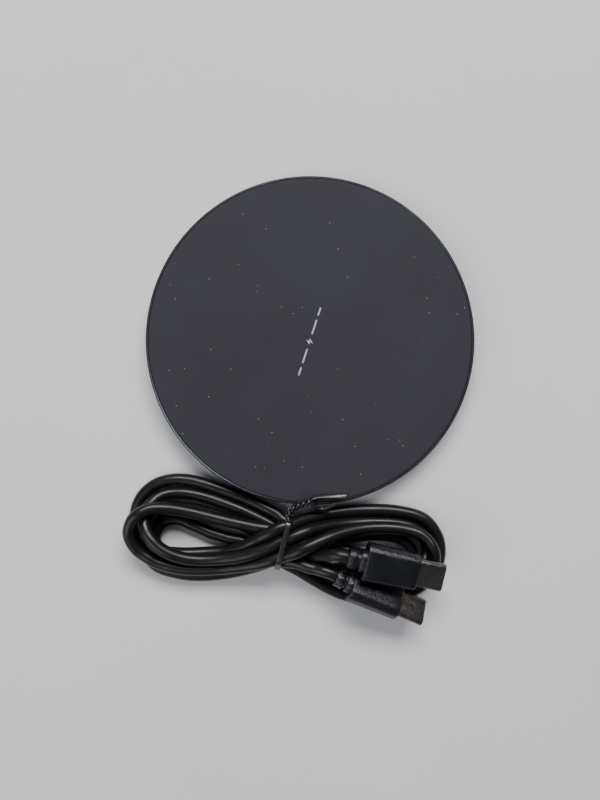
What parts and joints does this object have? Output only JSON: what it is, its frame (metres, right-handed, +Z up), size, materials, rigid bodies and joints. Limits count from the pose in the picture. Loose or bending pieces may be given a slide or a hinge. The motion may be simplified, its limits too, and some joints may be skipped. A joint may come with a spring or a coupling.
{
  "type": "wireless charging pad",
  "caption": "Round flat wireless charging pad with a matte top, polished chamfered bezel and anti-slip foot, and its unplugged charging cable tied in a hank beside it.",
  "frame": {"origin": "middle of the pad's anti-slip foot, on the surface it stands on", "axes": "+Z up through the middle of the charging surface, -Y from the pad towards the tied cable, +X to the right seen from above with the cable nearest"},
  "size_m": [0.1085, 0.1354, 0.0173],
  "materials": {
    "plate": "soft-touch matte charcoal",
    "mark_ink": "pale grey-blue printed ink",
    "bezel": "dark anodised, polished chamfer",
    "base": "fine moulded texture, black",
    "silicone": "matte silicone",
    "tape": "double-sided tape",
    "steel": "bright zinc plated",
    "ferrite": "dark sintered",
    "copper": "enamelled copper wire",
    "foam": "closed-cell foam",
    "board": "green solder mask",
    "chip": "black moulding compound",
    "ceramic_part": "tan ceramic body, tinned ends",
    "lens": "clear moulded",
    "gunmetal": "dark nickel, brushed",
    "cable": "smooth glossy black jacket",
    "overmold": "fine pebbled grain",
    "tie": "glossy black coated wire"
  },
  "bodies": {
    "pad": {"top_plate": "plate", "bezel_ring": "bezel", "base_cover": "base", "foot_ring": "silicone", "plate_adhesive_ring": "tape", "base_screw_1": "steel", "base_screw_2": "steel", "base_screw_3": "steel", "base_screw_4": "steel", "ferrite_sheet": "ferrite", "charging_coil": "copper", "coil_foam": "foam", "coil_thermistor": "chip", "main_board": "board", "usb_c_receptacle": "steel", "receptacle_tongue": "chip", "controller_chip": "chip", "bridge_chip": "chip", "power_inductor": "ferrite", "indicator_led": "lens", "indicator_lens": "lens", "resonance_capacitor_1": "ceramic_part", "resonance_capacitor_2": "ceramic_part", "resonance_capacitor_3": "ceramic_part", "resonance_capacitor_4": "ceramic_part", "board_screw_1": "steel", "board_screw_2": "steel"},
    "cable": {"cable_hank_left": "cable", "cable_hank_right": "cable", "cable_lead_a": "cable", "cable_lead_b": "cable", "twist_tie": "tie", "plug_a_body": "overmold", "plug_a_shell": "gunmetal", "plug_a_contacts": "chip", "plug_b_body": "overmold", "plug_b_shell": "gunmetal", "plug_b_contacts": "chip"}
  },
  "joints": [
    {"name": "cable_lift", "type": "slide", "parent": "pad", "child": "cable", "axis": [0, 0, 1], "range_m": [0, 0.05]}
  ]
}
